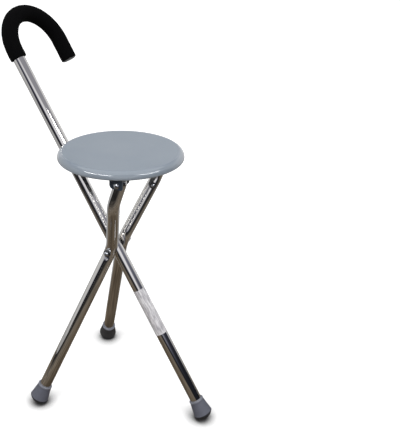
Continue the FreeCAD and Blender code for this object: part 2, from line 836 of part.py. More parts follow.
def seat_parts():
    write("seat_shell", under_seat(seat_shell()))
    write("seat_frame", under_seat(seat_frame()))
    write("guide_plate", under_seat(guide_plate()))
    write("guide_loop", under_seat(guide_loop()))
    write("frame_screws", screw_group(frame_screw_places()))
    write("guide_screws", screw_group(guide_screw_places()))
    for name, side in sides.items():
        write(name + "_pivot_bolt", under_seat(pivot_bolt(side)))
        write(name + "_pivot_washers", under_seat(pivot_washers(side)))
        write(name + "_pivot_nut", under_seat(pivot_nut(side)))


os.makedirs("parts", exist_ok=True)
shaft_parts()
leg_parts()
seat_parts()
print("hub", round(hub_x, 3), round(hub_y, 3), round(hub_height, 3))
print("seat pivot", round(pivot_x, 3), round(pivot_z, 3))
print("seat middle", round(seat_x, 3), round(seat_z, 3))
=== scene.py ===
# %% [markdown]
# # A walking stick seat
# The real object is a chromed tube stick with a foam-covered crook. Two bent legs cross it at a hub
# bolt, and a round plastic seat rests on their tops. The engineering model arrives ready packed: every
# piece is already at its real size and place, in metres, with +Z up. This file gives each piece its
# finish, swaps a few pieces for finer meshes, and sets up a plain studio round them.

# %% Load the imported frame
import cmath
import json
import math

import bmesh
import bpy
from mathutils import Matrix, Vector, noise


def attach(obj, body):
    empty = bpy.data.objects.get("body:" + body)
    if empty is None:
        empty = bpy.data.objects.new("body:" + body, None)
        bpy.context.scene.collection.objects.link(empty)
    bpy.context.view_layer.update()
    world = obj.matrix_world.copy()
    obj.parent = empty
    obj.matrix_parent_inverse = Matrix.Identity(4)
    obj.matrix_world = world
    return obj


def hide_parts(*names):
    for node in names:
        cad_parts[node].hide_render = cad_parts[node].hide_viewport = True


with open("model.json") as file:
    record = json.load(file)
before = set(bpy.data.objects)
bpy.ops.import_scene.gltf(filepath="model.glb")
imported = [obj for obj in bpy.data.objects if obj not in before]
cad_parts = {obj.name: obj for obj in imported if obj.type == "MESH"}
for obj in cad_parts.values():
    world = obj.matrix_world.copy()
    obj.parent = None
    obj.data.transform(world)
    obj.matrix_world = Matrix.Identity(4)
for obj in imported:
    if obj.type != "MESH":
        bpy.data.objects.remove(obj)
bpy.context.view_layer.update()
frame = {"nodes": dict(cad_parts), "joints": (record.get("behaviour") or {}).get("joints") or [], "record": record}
nodes = frame["nodes"]
print("pieces in the frame:", len(nodes))

# %% [markdown]
# ## Places on the object
# Two drawings lie behind the object: one of the upright shaft, and one of the legs as they lie folded
# beside it. Both are then leaned over about the hub bolt. Every new piece is drawn in one of the two, so
# it only needs simple upright numbers. The bolt's place comes from the joints, so it can't drift from
# the engineering model, and the leans are design sizes that are written once here.

# %% Hub, shaft and legs
joints = {joint["name"]: joint for joint in frame["joints"]}
hub = Vector(joints["left_leg_fold"]["pos_m"])
shaft_lean = math.radians(32.0)
leg_lean = math.radians(18.7)
across = Vector((0, 1, 0))
shaft_up = Vector((-math.sin(shaft_lean), 0, math.cos(shaft_lean)))
shaft_front = Vector((math.cos(shaft_lean), 0, math.sin(shaft_lean)))
leg_up = Vector((math.sin(leg_lean), 0, math.cos(leg_lean)))
leg_front = Vector((math.cos(leg_lean), 0, -math.sin(leg_lean)))
sides = {"left": -1, "right": 1}


def on_shaft(x, y, z):
    """Place in metres of a point of the shaft's drawing, given in millimetres."""
    return hub + (shaft_front * x + across * y + shaft_up * z) / 1000


def on_leg(x, y, z):
    """Place in metres of a point of the legs' drawing, given in millimetres."""
    return hub + (leg_front * x + across * y + leg_up * z) / 1000


print("hub", tuple(hub))

# %% [markdown]
# ## Colours and shader nodes
# Paint charts and web pages give colours as sRGB hex, but shaders calculate in linear light. One
# function turns one into the other. A second one adds a shader node with its settings and links, which
# keeps each material down to the lines that matter.


# %% Helpers for materials
def linear(hex_code):
    """sRGB hex colour as linear red, green, blue and alpha, by the sRGB standard's own curve."""
    channels = [int(hex_code[place:place + 2], 16) / 255 for place in (1, 3, 5)]
    curve = [c / 12.92 if c <= 0.04045 else ((c + 0.055) / 1.055) ** 2.4 for c in channels]
    return tuple(curve + [1.0])


def add(tree, kind, options=None, values=None, links=None):
    """Add a shader node, set its options and its sockets' values, and link other nodes to it."""
    node = tree.nodes.new("ShaderNode" + kind)
    for name, value in (options or {}).items():
        setattr(node, name, value)
    for name, value in (values or {}).items():
        node.inputs[name].default_value = value
    for name, source in (links or {}).items():
        tree.links.new(source, node.inputs[name])
    return node


def new_material(name, base, metallic, roughness):
    """A material whose shader starts from one base colour, a metallic value and a roughness."""
    material = bpy.data.materials.new(name)
    material.use_nodes = True
    shader = material.node_tree.nodes["Principled BSDF"]
    shader.inputs["Base Color"].default_value = linear(base)
    shader.inputs["Metallic"].default_value = metallic
    shader.inputs["Roughness"].default_value = roughness
    print("material", name)
    return material, material.node_tree, shader


def per_metre(size_mm):
    """Texture scale that makes one cell of a pattern as large as the real one in millimetres."""
    return 1000 / size_mm


def mottle(tree, socket, size_mm, detail, first, second):
    """Let a socket's colour drift between two colours in patches of one size."""
    place = add(tree, "TexCoord").outputs["Object"]
    patches = add(tree, "TexNoise", values={"Scale": per_metre(size_mm), "Detail": detail},
                  links={"Vector": place})
    colour = add(tree, "Mix", {"data_type": "RGBA"}, {6: linear(first), 7: linear(second)},
                 {"Factor": patches.outputs["Fac"]})
    tree.links.new(colour.outputs[2], socket)


def grain(tree, shader, size_mm, strength, depth_mm, detail=3.0):
    """Fine bumps of one size on a surface."""
    place = add(tree, "TexCoord").outputs["Object"]
    bumps = add(tree, "TexNoise", values={"Scale": per_metre(size_mm), "Detail": detail},
                links={"Vector": place})
    bump = add(tree, "Bump", values={"Strength": strength, "Distance": depth_mm / 1000},
               links={"Height": bumps.outputs["Fac"]})
    tree.links.new(bump.outputs["Normal"], shader.inputs["Normal"])


# %% [markdown]
# ## Chrome-plated steel tube
# The tubes are thin-walled steel, polished and then plated with bright chrome. Almost all of their look
# is what they mirror, so the shader stays simple: a metal with a pale, slightly warm colour. Handling
# leaves a faint haze, which is a slow change of roughness here. The tube was drawn through a die and
# isn't perfectly straight, so waves of about 40 mm bend its reflections a little. They have no finer
# detail, because that would break up the edges of what the chrome mirrors.

# %% Chrome
chrome, tree, shader = new_material("chrome_plated_steel", "#ECEAE7", 1.0, 0.06)
place = add(tree, "TexCoord").outputs["Object"]
haze = add(tree, "TexNoise", values={"Scale": per_metre(35), "Detail": 5.0}, links={"Vector": place})
haze_roughness = add(tree, "MapRange", links={"Value": haze.outputs["Fac"]},
                     values={"From Min": 0.35, "From Max": 0.7, "To Min": 0.02, "To Max": 0.05})
tree.links.new(haze_roughness.outputs["Result"], shader.inputs["Roughness"])
grain(tree, shader, 40, 0.006, 0.4, detail=0.0)

# %% [markdown]
# ## Zinc-plated steel
# Bolts, screws, steel washers, the guide loop and the collar are plainer than the tubes: they are plated
# with zinc, which is duller and slightly blue. They tumble in a barrel while they are plated, and that
# leaves a fine grain, so a small bump is enough.

# %% Zinc-plated fasteners
zinc, tree, shader = new_material("zinc_plated_steel", "#C4C7CC", 1.0, 0.24)
grain(tree, shader, 1.5, 0.12, 0.2)

# %% [markdown]
# ## Moulded seat plastic
# The seat is injection-moulded polypropylene in blue-grey. Its rolled rim is glossy enough to mirror the
# windows, while the flat top is duller. Two materials would show a seam, so one shader does both: the
# upward part of the surface's own normal tells the top from the rim, and it sets how rough the plastic
# is and how much clear gloss lies on it. A very fine bump gives the mould's grain, drawn coarser than
# the real 0.2 mm so that it can show, and the colour drifts a little, as pigment does.

# %% Seat plastic
seat_plastic, tree, shader = new_material("moulded_polypropylene_blue_grey", "#7F8A95", 0.0, 0.14)
shader.inputs["IOR"].default_value = 1.49
shader.inputs["Coat Roughness"].default_value = 0.045
facing = add(tree, "TexCoord").outputs["Normal"]
upward = add(tree, "SeparateXYZ", links={"Vector": facing}).outputs["Z"]
rim_to_top = {"From Min": 0.9, "From Max": 0.99}
polish = add(tree, "MapRange", values={**rim_to_top, "To Min": 1.0, "To Max": 0.0}, links={"Value": upward})
haze = add(tree, "MapRange", values={**rim_to_top, "To Min": 0.14, "To Max": 0.34}, links={"Value": upward})
tree.links.new(polish.outputs["Result"], shader.inputs["Coat Weight"])
tree.links.new(haze.outputs["Result"], shader.inputs["Roughness"])
mottle(tree, shader.inputs["Base Color"], 60, 3.0, "#808B97", "#8B949E")
grain(tree, shader, 0.8, 0.03, 0.2)

# %% [markdown]
# ## Black foam
# The grip is closed-cell foam. Its cut surface is all small pores, which swallow the light, so it is
# deep black, very rough, and mirrors next to nothing. That is why its specular level is low too.

# %% Foam
foam, tree, shader = new_material("closed_cell_foam_black", "#060607", 0.0, 1.0)
shader.inputs["Specular IOR Level"].default_value = 0.06
mottle(tree, shader.inputs["Base Color"], 3, 3.0, "#040405", "#0A0A0B")
grain(tree, shader, 1.2, 0.4, 0.3)

# %% [markdown]
# ## Foot rubber
# The feet are moulded rubber in a cool grey that is never shiny. The soles are dark, partly from
# scuffs on the floor and partly from painted shade under the feet. The lips are paler, which is a
# painted highlight on their rounded crest. The right foot, the far one in the picture, is darker all
# over, which is painted shade. Each of these is the same rubber with other colours.

# %% Ferrule rubber, its scuffed and shaded sole, its highlit lip and its shaded copy
rubber, tree, shader = new_material("moulded_rubber_grey", "#5D606C", 0.0, 0.5)
mottle(tree, shader.inputs["Base Color"], 9, 4.0, "#50535F", "#646773")
grain(tree, shader, 1.0, 0.1, 0.2)
# Dark sole: real scuffs, together with painted shade under the foot.
scuffed_and_shaded_sole, tree, shader = new_material("scuffed_and_painted_shade_rubber_sole", "#26272C", 0.0, 0.8)
mottle(tree, shader.inputs["Base Color"], 5, 5.0, "#17181B", "#34363C")
grain(tree, shader, 0.8, 0.4, 0.3)
# Paler lip: a painted highlight on its rounded crest.
highlit_lip_rubber, tree, shader = new_material("painted_highlight_rubber_lip", "#7A7D88", 0.0, 0.4)
mottle(tree, shader.inputs["Base Color"], 7, 3.0, "#6E717C", "#868994")
# Darker copy of the same rubber for the far foot: painted shade.
painted_shade_rubber, tree, shader = new_material("moulded_rubber_painted_shade", "#3A3B3E", 0.0, 0.55)
mottle(tree, shader.inputs["Base Color"], 9, 4.0, "#303134", "#444548")
grain(tree, shader, 1.0, 0.1, 0.2)

# %% [markdown]
# ## Black nylon
# Spacers, plastic washers, capped nuts, the small buffer and the crook's end plug are moulded in black
# nylon. It has a soft shine, and its grain and colour are so even that they only keep it from looking
# like paint.

# %% Black nylon
black_nylon, tree, shader = new_material("moulded_nylon_black", "#0E0F11", 0.0, 0.35)
mottle(tree, shader.inputs["Base Color"], 4, 2.0, "#0B0C0E", "#141518")
grain(tree, shader, 0.6, 0.1, 0.1)

# %% [markdown]
# ## Painted steel
# The strap and plate under the seat are pressed steel in dark slate-blue enamel. Sprayed enamel dries
# with a slight orange peel, which is a bump of about 2 mm, and a thin clear coat gives its wet shine.

# %% Slate-blue paint
slate_paint, tree, shader = new_material("slate_blue_enamel_on_steel", "#2C3644", 0.0, 0.3)
shader.inputs["Coat Weight"].default_value = 0.4
shader.inputs["Coat Roughness"].default_value = 0.1
mottle(tree, shader.inputs["Base Color"], 12, 2.0, "#27303D", "#323D4C")
grain(tree, shader, 2.0, 0.1, 0.1)

# %% [markdown]
# ## The blank label
# The label on the shaft is white film, blank here, whose silvery face has grey and pale streaks along
# it. Noise is as long as it is wide, so the place that it is read at is first squeezed along the shaft.
# That draws its patches out into lengthwise streaks.

# %% Label film
streak_width_mm = 3
lengthening = 0.85
label_film, tree, shader = new_material("blank_label_film", "#D0CFD1", 0.0, 0.45)
place = add(tree, "TexCoord").outputs["Object"]
along = add(tree, "VectorMath", {"operation": "DOT_PRODUCT"}, {1: shaft_up}, {0: place})
squeeze = add(tree, "Math", {"operation": "MULTIPLY"}, {1: -lengthening}, {0: along.outputs["Value"]})
shift = add(tree, "VectorMath", {"operation": "SCALE"}, {0: shaft_up}, {"Scale": squeeze.outputs[0]})
drawn_out = add(tree, "VectorMath", {"operation": "ADD"}, links={0: place, 1: shift.outputs["Vector"]})
lengthwise_streaks = add(tree, "TexNoise", links={"Vector": drawn_out.outputs["Vector"]},
              values={"Scale": per_metre(streak_width_mm), "Detail": 6.0, "Roughness": 0.65})
greys = add(tree, "ValToRGB", links={"Fac": lengthwise_streaks.outputs["Fac"]})
for stop, position, hex_code in zip(greys.color_ramp.elements, (0.34, 0.62), ("#94929A", "#E6E5E8")):
    stop.position = position
    stop.color = linear(hex_code)
tree.links.new(greys.outputs["Color"], shader.inputs["Base Color"])

# %% [markdown]
# ## Give every piece its finish
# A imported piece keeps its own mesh, and only the material in its slot changes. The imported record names
# a slot for every piece, so one table from slot to material dresses them all.

# %% Assign the materials
finishes = {
    "chrome_tube": chrome,
    "zinc_steel": zinc,
    "seat_plastic": seat_plastic,
    "foam": foam,
    "ferrule_rubber": rubber,
    "black_plastic": black_nylon,
    "frame_paint": slate_paint,
    "blank_label": label_film,
}
slots = {part["node"]: part["material_slot"] for part in frame["record"]["subparts"]}
for name, slot_name in slots.items():
    nodes[name].data.materials.clear()
    nodes[name].data.materials.append(finishes[slot_name])
print("finished pieces:", len(slots))

# %% [markdown]
# ## Finer meshes from rings
# Chrome shows every flat facet, and a bent tube is a row of rings along a bent line. So the legs, the
# shaft, the grip and the feet are each built as rings of points that a skin is stretched over. The bent
# lines are drawn in one plane, where a complex number is a point and a multiplication is a turn.

# %% Helpers for ring-built pieces
crease_angle = math.radians(40)


def rounded_line(corners, radius, spacing):
    """Points and directions along a line whose inner corners are arcs of one radius."""
    line = []
    start = corners[0]
    for index in range(1, len(corners)):
        corner = corners[index]
        ahead = (corner - start) / abs(corner - start)
        turn, reach = 0.0, 0.0
        if index + 1 < len(corners):
            next_run = corners[index + 1] - corner
            turn = cmath.phase(next_run / ahead)
            reach = radius * math.tan(abs(turn) / 2)
        end = corner - ahead * reach
        steps = max(1, round(abs(end - start) / spacing))
        line += [(start + (end - start) * step / steps, ahead) for step in range(steps)]
        start = end
        if turn:
            centre = end + ahead * 1j * math.copysign(radius, turn)
            steps = max(2, round(abs(turn) * radius / spacing))
            for step in range(steps):
                swing = cmath.exp(1j * turn * step / steps)
                line.append((centre + (end - centre) * swing, ahead * swing))
            start = centre + (end - centre) * cmath.exp(1j * turn)
            ahead *= cmath.exp(1j * turn)
    return line + [(start, ahead)]


def skin(name, rings):
    """Closed smooth mesh over a list of rings, each a list of as many places."""
    count = len(rings[0])
    places = [place for ring in rings for place in ring]
    faces = [tuple(range(count)), tuple(range(len(places) - count, len(places)))]
    for row in range(len(rings) - 1):
        for step in range(count):
            first, second = row * count + step, row * count + (step + 1) % count
            faces.append((first, second, second + count, first + count))
    mesh = bpy.data.meshes.new(name)
    mesh.from_pydata(places, [], faces)
    shape = bmesh.new()
    shape.from_mesh(mesh)
    bmesh.ops.recalc_face_normals(shape, faces=shape.faces)
    shape.to_mesh(mesh)
    shape.free()
    mesh.polygons.foreach_set("use_smooth", [True] * len(mesh.polygons))
    mesh.set_sharp_from_angle(angle=crease_angle)
    piece = bpy.data.objects.new(name, mesh)
    bpy.context.scene.collection.objects.link(piece)
    return piece


def stand_for(piece, body, node):
    """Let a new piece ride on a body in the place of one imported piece, with that piece's finish."""
    if not piece.data.materials:
        piece.data.materials.append(finishes[slots[node]])
    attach(piece, body)
    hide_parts(node)
    print(piece.name, "has", len(piece.data.polygons), "faces")


def ease(value, start, end):
    """0 before start, 1 after end, and a soft change between them."""
    share = min(max((value - start) / (end - start), 0.0), 1.0)
    return share * share * (3 - 2 * share)


# %% [markdown]
# ## The bent legs
# Each leg is one tube. It is round along both runs, dented on both sides at the hub so that it lies
# close to the shaft, and pressed flat at the top, where it ends in a round eye. A sweep with a changing
# section does all of it: the press squeezes the circle into a flat oval, and the dents hold the points
# between two soft limits. Soft limits matter here, because a hard edge would break up the reflections.
# The sizes are those of the engineering model. Only the press and the dents begin a little earlier than
# there, because they are eased in.

# %% Leg sizes in millimetres
tube_radius = 11.0
leg_bend = complex(17.2, 5.1)
lower_splay = math.radians(17.9)
upper_splay = math.radians(24.3)
leg_bend_radius = 60.0
leg_shoulder_height = 130.4
press_start, press_end = 112.0, 141.0
press_half_width, press_half_thickness = 10.75, 7.25
eye_height = 174.0
dent_inner, dent_outer = 13.85, 30.45
dent_inner_heights, dent_outer_heights = (14, 40), (8, 24)
clear_of_dents = 16
limit_softness = 1.5
eye_tip_share = 0.02
tube_below_centre = 5.0
sole_radius = 19.9
rim_below_centre = 8.5
foot_drop = (hub.z * 1000 - sole_radius) / math.cos(leg_lean)
foot_offset = leg_bend.real + (foot_drop + leg_bend.imag) * math.tan(lower_splay)
print("feet", round(foot_offset, 1), "mm out,", round(foot_drop, 1), "mm down")


# %% Leg sections
def soft_limit(value, limit, keep_below):
    """Hold a value on one side of a limit, rounding the corner by about a millimetre."""
    way = 1 if keep_below else -1
    gap = (value - limit) * way
    return limit + way * (gap - math.sqrt(gap * gap + limit_softness)) / 2


def leg_ring(side, centre, ahead, count=64):
    """Ring of one leg at a point of its centre line, whose real part is the distance from the shaft.

    The dents are whole up to the first of their two heights from the hub and gone at the second, where
    both limits stand clear of the tube.
    """
    flat = ease(centre.imag, press_start, press_end)
    round_part = tube_radius + (press_half_thickness - tube_radius) * flat
    flat_part = (press_half_width - press_half_thickness) * flat
    above_eye = max(centre.imag - eye_height, 0.0) / press_half_width
    narrowing = max(math.sqrt(max(1 - above_eye * above_eye, 0.0)), eye_tip_share)
    from_hub = abs(centre.imag)
    inner = dent_inner + (centre.real - clear_of_dents - dent_inner) * ease(from_hub, *dent_inner_heights)
    outer = dent_outer + (centre.real + clear_of_dents - dent_outer) * ease(from_hub, *dent_outer_heights)
    ring = []
    for step in range(count):
        turn = 2 * math.pi * (step + 0.5) / count
        wide = flat_part * math.copysign(1, math.cos(turn)) + round_part * math.cos(turn)
        place = centre + ahead * 1j * round_part * math.sin(turn)
        out = soft_limit(soft_limit(place.real, outer, True), inner, False)
        ring.append(on_leg(wide * narrowing, side * out, place.imag))
    return ring


# %% Build the legs
shoulder = leg_bend + complex(math.tan(upper_splay), 1) * (leg_shoulder_height - leg_bend.imag)
foot_end = complex(foot_offset, -foot_drop) + cmath.rect(tube_below_centre, lower_splay - math.pi / 2)
eye = complex(shoulder.real, eye_height)
leg_line = rounded_line([foot_end, leg_bend, shoulder, eye], leg_bend_radius, spacing=3.0)
eye_angles = [math.radians(angle) for angle in range(10, 91, 10)]
eye_line = [(eye + 1j * press_half_width * math.sin(angle), 1j) for angle in eye_angles]
for name, side in sides.items():
    rings = [leg_ring(side, centre, ahead) for centre, ahead in leg_line + eye_line]
    leg = skin(name + "_chromed_leg", rings)
    stand_for(leg, name + "_leg", name + "_leg")

# %% [markdown]
# ## The shaft tube
# The shaft is the same tube, straight from its foot up to the crook and then bent over in a half circle.
# Rings round the same bent line give the tube now and the foam after it, so the two always fit.

# %% Build the shaft tube
crook_width, crook_spring, crook_end = 129.4, 391.7, 352.6
crook_top = crook_spring + crook_width / 2
tube_foot = -361.1


def crook_line(start, spacing):
    """Centre line of the shaft from one height up over the crook and down to its end."""
    return rounded_line([complex(0, start), complex(0, crook_top), complex(crook_width, crook_top),
                         complex(crook_width, crook_end)], crook_width / 2, spacing)


def shaft_ring(centre, ahead, radius, count=72):
    """Ring round the shaft at a point of its centre line."""
    ring = []
    for step in range(count):
        turn = 2 * math.pi * step / count
        place = centre + ahead * 1j * radius * math.sin(turn)
        ring.append(on_shaft(radius * math.cos(turn), place.real, place.imag))
    return ring


tube_line = crook_line(tube_foot, spacing=4.0)
shaft = skin("shaft_chromed_tube", [shaft_ring(centre, ahead, tube_radius) for centre, ahead in tube_line])
stand_for(shaft, "shaft", "main_shaft")

# %% [markdown]
# ## The foam grip
# The sleeve is a straight foam tube pushed over the crook, so it bends with it and stays as thick. Foam
# is cut, not moulded, so its surface is never quite even: a small noise moves each point in or out.

# %% Foam grip
foam_radius = 14.9
foam_start, foam_edge = 378.9, 1.5
lumps_per_metre = 160
lump_height = 0.0003


def foam_ring(centre, ahead, edge_angle=90):
    """Uneven ring of the foam, drawn in at its rounded ends, where the edge angle is under 90 degrees."""
    edge = math.radians(edge_angle)
    radius = foam_radius - foam_edge * (1 - math.sin(edge))
    middle = on_shaft(0, centre.real, centre.imag)
    ring = shaft_ring(centre + 1j * foam_edge * (1 - math.cos(edge)) * (edge_angle < 90), ahead, radius)
    return [place + (place - middle).normalized() * noise.noise(place * lumps_per_metre) * lump_height
            for place in ring]


foam_line = crook_line(foam_start, spacing=2.0)
rings = [foam_ring(*foam_line[0], angle) for angle in (0, 30, 60)]
rings += [foam_ring(centre, ahead) for centre, ahead in foam_line[1:-1]]
rings += [foam_ring(*foam_line[-1], angle) for angle in (60, 30, 0)]
grip = skin("foam_grip", rings)
stand_for(grip, "shaft", "handle_grip")

# %% [markdown]
# ## The rubber feet
# A ferrule is a turned shape: a domed sole, a crisp rim, a straight cone and a rounded lip that grips
# the tube. Turning one outline round an axis gives each foot, and the rows of faces choose the rubber:
# the sole is dark, partly scuffed and partly painted shade, and the lip is paler, as a painted highlight.
# Turning costs few points and leaves the rim as crisp as the outline draws it.

# %% Ferrule outline, as radius and height in millimetres from the rim
sole_angles = [math.radians(angle) for angle in (1, 8, 16, 24, 32, 40, 48, 54, 58, 60.2)]
dome = [(sole_radius * math.sin(angle), rim_below_centre - sole_radius * math.cos(angle))
        for angle in sole_angles]
cone = [(17.75, -0.9), (18.15, -0.35), (18.15, 0.1), (17.9, 1.0), (17.65, 2.4), (16.7, 8.0), (15.45, 15.5),
        (14.2, 23.0), (13.4, 27.6)]
lip = [(13.5, 28.0), (13.95, 28.6), (14.05, 29.5), (13.85, 30.4), (13.3, 30.9), (12.2, 31.0), (11.2, 30.7),
       (11.0, 27.0)]
outline = dome + cone + lip
# Rows of the dark sole, which is scuffed and also in painted shade.
scuffed_and_shaded_rows = len(dome) + 3
lip_row = len(dome + cone) - 1
end_faces = 2
print("ferrule outline", len(outline), "points")


# %% Turn the outline
def ferrule(name, rim_centre, up, body, node, cone_rubber=rubber, count=96):
    """Turn the outline round an axis and place it with its rim at one point."""
    first = up.orthogonal().normalized()
    second = up.cross(first)
    spokes = [first * math.cos(turn) + second * math.sin(turn)
              for turn in (2 * math.pi * step / count for step in range(count))]
    rings = [[rim_centre + (up * height + spoke * radius) / 1000 for spoke in spokes]
             for radius, height in outline]
    piece = skin(name, rings)
    for rubber_kind in (cone_rubber, scuffed_and_shaded_sole, highlit_lip_rubber):
        piece.data.materials.append(rubber_kind)
    # Sole rows take the scuffed rubber with painted shade, and lip rows take the painted highlight.
    for face in piece.data.polygons:
        row = (face.index - end_faces) // count
        on_sole = face.index == 0 or 0 <= row < scuffed_and_shaded_rows
        face.material_index = 1 if on_sole else 2 if row >= lip_row else 0
    stand_for(piece, body, node)


# %% Put the feet on
shaft_foot_drop = 356.1
# The right foot wears the darker copy of the rubber, which is painted shade.
foot_rubbers = {"left": rubber, "right": painted_shade_rubber}
rim_centre = on_shaft(0, 0, -shaft_foot_drop - rim_below_centre)
ferrule("shaft_foot", rim_centre, shaft_up, "shaft", "shaft_ferrule")
for name, side in sides.items():
    run_up = (leg_up * math.cos(lower_splay) - across * side * math.sin(lower_splay)).normalized()
    rim_centre = on_leg(0, side * foot_offset, -foot_drop) - run_up * rim_below_centre / 1000
    ferrule(name + "_foot", rim_centre, run_up, name + "_leg", name + "_ferrule", foot_rubbers[name])

# %% [markdown]
# ## The floor
# The photograph shows the object on plain white with soft shadows under its feet. The floor is a large
# sheet of white paper. For rays from the camera and for mirrored ones it also glows a little, and more
# so further away, so that it reaches white while it still takes the object's shadow. Brighter lamps
# would reach white too, but they would wash out the object. Right at the feet the paper is closed in,
# and it is darkened there by how open it is, which gives the short contact shadows. For the light that
# it sends back to the object it is brown, like the table top that the chrome mirrors.


# %% Helpers for the floor
def seen_rays(tree):
    """1 for rays from the camera and for those mirrored or bent on their way to it, otherwise 0."""
    rays = add(tree, "LightPath")
    seen = add(tree, "Math", {"operation": "MAXIMUM"},
               links={0: rays.outputs["Is Camera Ray"], 1: rays.outputs["Is Glossy Ray"]})
    return add(tree, "Math", {"operation": "MAXIMUM"},
               links={0: seen.outputs[0], 1: rays.outputs["Is Transmission Ray"]}).outputs[0]


def distance_out(tree):
    """Distance in metres from the middle of the floor."""
    place = add(tree, "TexCoord").outputs["Object"]
    return add(tree, "VectorMath", {"operation": "LENGTH"}, links={0: place}).outputs["Value"]


# %% Floor
white = (1, 1, 1, 1)
floor_reach = 14.0
shadow_reach = 0.03
floor_sheet, tree, shader = new_material("white_paper_floor", "#F2F2F2", 0.0, 0.9)
nearness = add(tree, "AmbientOcclusion", {"samples": 16}, {"Distance": shadow_reach})
openness = add(tree, "MapRange", {"interpolation_type": "SMOOTHSTEP"},
               {"From Min": 0.35, "From Max": 1.0}, {"Value": nearness.outputs["AO"]}).outputs["Result"]
paper = add(tree, "Mix", {"data_type": "RGBA"}, {6: linear("#3A3A3B"), 7: linear("#F2F2F2")},
            {"Factor": openness})
bounce = add(tree, "Mix", {"data_type": "RGBA"}, {6: linear("#8C8378")},
             {"Factor": seen_rays(tree), 7: paper.outputs[2]})
tree.links.new(bounce.outputs[2], shader.inputs["Base Color"])
glow = add(tree, "MapRange", values={"From Min": 0.35, "From Max": 1.0, "To Min": 0.24, "To Max": 0.5},
           links={"Value": distance_out(tree)})
glow = add(tree, "Math", {"operation": "MULTIPLY"}, links={0: openness, 1: glow.outputs["Result"]})
glow = add(tree, "Math", {"operation": "MULTIPLY"}, links={0: seen_rays(tree), 1: glow.outputs[0]})
shader.inputs["Emission Color"].default_value = white
tree.links.new(glow.outputs[0], shader.inputs["Emission Strength"])

floor_mesh = bpy.data.meshes.new("floor")
corners = [(x * floor_reach, y * floor_reach, 0) for x, y in ((-1, -1), (1, -1), (1, 1), (-1, 1))]
floor_mesh.from_pydata(corners, [], [(0, 1, 2, 3)])
floor_mesh.materials.append(floor_sheet)
floor = bpy.data.objects.new("floor", floor_mesh)
bpy.context.scene.collection.objects.link(floor)

# %% [markdown]
# ## The world
# Most of the light comes evenly from all round, as in a white tent. A world of strength 1 is white to
# the camera, and for the light on the object it is a little lower, so that pale surfaces don't clip.

# %% World
world = bpy.data.worlds.new("studio")
bpy.context.scene.world = world
world.use_nodes = True
tree = world.node_tree
sky_strength = add(tree, "MapRange", values={"To Min": 0.78, "To Max": 1.0},
                   links={"Value": seen_rays(tree)})
backdrop = tree.nodes["Background"]
backdrop.inputs["Color"].default_value = white
tree.links.new(sky_strength.outputs["Result"], backdrop.inputs["Strength"])
print("world", world.name)

# %% [markdown]
# ## Reflection cards
# Chrome with nothing dark round it looks like white plastic. A studio hangs black and grey cards just
# outside the picture, and they give the tubes their dark streaks. Here each card is a sheet over rows of
# places. All of them are only seen in reflections: they cast no shadow, light nothing, and no view shows
# them.


# %% Helpers for reflection cards
def bare_card(name, rows):
    """A sheet over rows of places that shows only in mirrored rays, and its material's parts."""
    mesh = bpy.data.meshes.new(name)
    count = len(rows[0])
    faces = [(first + step, first + step + 1, first + count + step + 1, first + count + step)
             for first in range(0, count * (len(rows) - 1), count) for step in range(count - 1)]
    mesh.from_pydata([place for row in rows for place in row], [], faces)
    sheet = bpy.data.objects.new(name, mesh)
    bpy.context.scene.collection.objects.link(sheet)
    material, tree, shader = new_material(name, "#000000", 0.0, 0.9)
    shader.inputs["Specular IOR Level"].default_value = 0.0
    mesh.materials.append(material)
    for ray in ("camera", "diffuse", "shadow", "transmission", "volume_scatter"):
        setattr(sheet, "visible_" + ray, False)
    return mesh, tree, shader


def card(name, rows, shades, strength=1.0):
    """A card of which each row glows in its own colour, with a soft change from row to row."""
    mesh, tree, shader = bare_card(name, rows)
    colours = mesh.color_attributes.new(name="shade", type="FLOAT_COLOR", domain="POINT").data
    for index, colour in enumerate(colours):
        colour.color = linear(shades[index // len(rows[0])])
    shade = add(tree, "Attribute", {"attribute_name": "shade"})
    tree.links.new(shade.outputs["Color"], shader.inputs["Emission Color"])
    shader.inputs["Emission Strength"].default_value = strength


card_steps = 8


def standing_card(name, distance, outline, shades, strength=1.0):
    """A card bent round the object.

    The outline gives compass angles in degrees, 0 along +Y and 90 along +X, with the card's lower and
    upper edge there in metres. The shades run from the lower edge, at 0, to the upper one, at 1.
    """
    corners = [Vector(corner) for corner in outline]
    columns = [first.lerp(last, step / card_steps) for first, last in zip(corners, corners[1:])
               for step in range(card_steps)]
    columns.append(corners[-1])
    rows = [[(distance * math.sin(math.radians(turn)), distance * math.cos(math.radians(turn)),
              low + (high - low) * share) for turn, low, high in columns] for share, hex_code in shades]
    card(name, rows, [hex_code for share, hex_code in shades], strength)


# %% [markdown]
# ## Table and floor in the chrome
# The real object stood on something flat and brown, such as a table top, and the lower half of every
# tube mirrors it. The table is a low card just over the paper. Its brown gets darker further out, where
# less light falls on it, and slow noise makes it patchy, because a tube stretches each patch into a
# streak along it. A paler card under it is the room's floor.

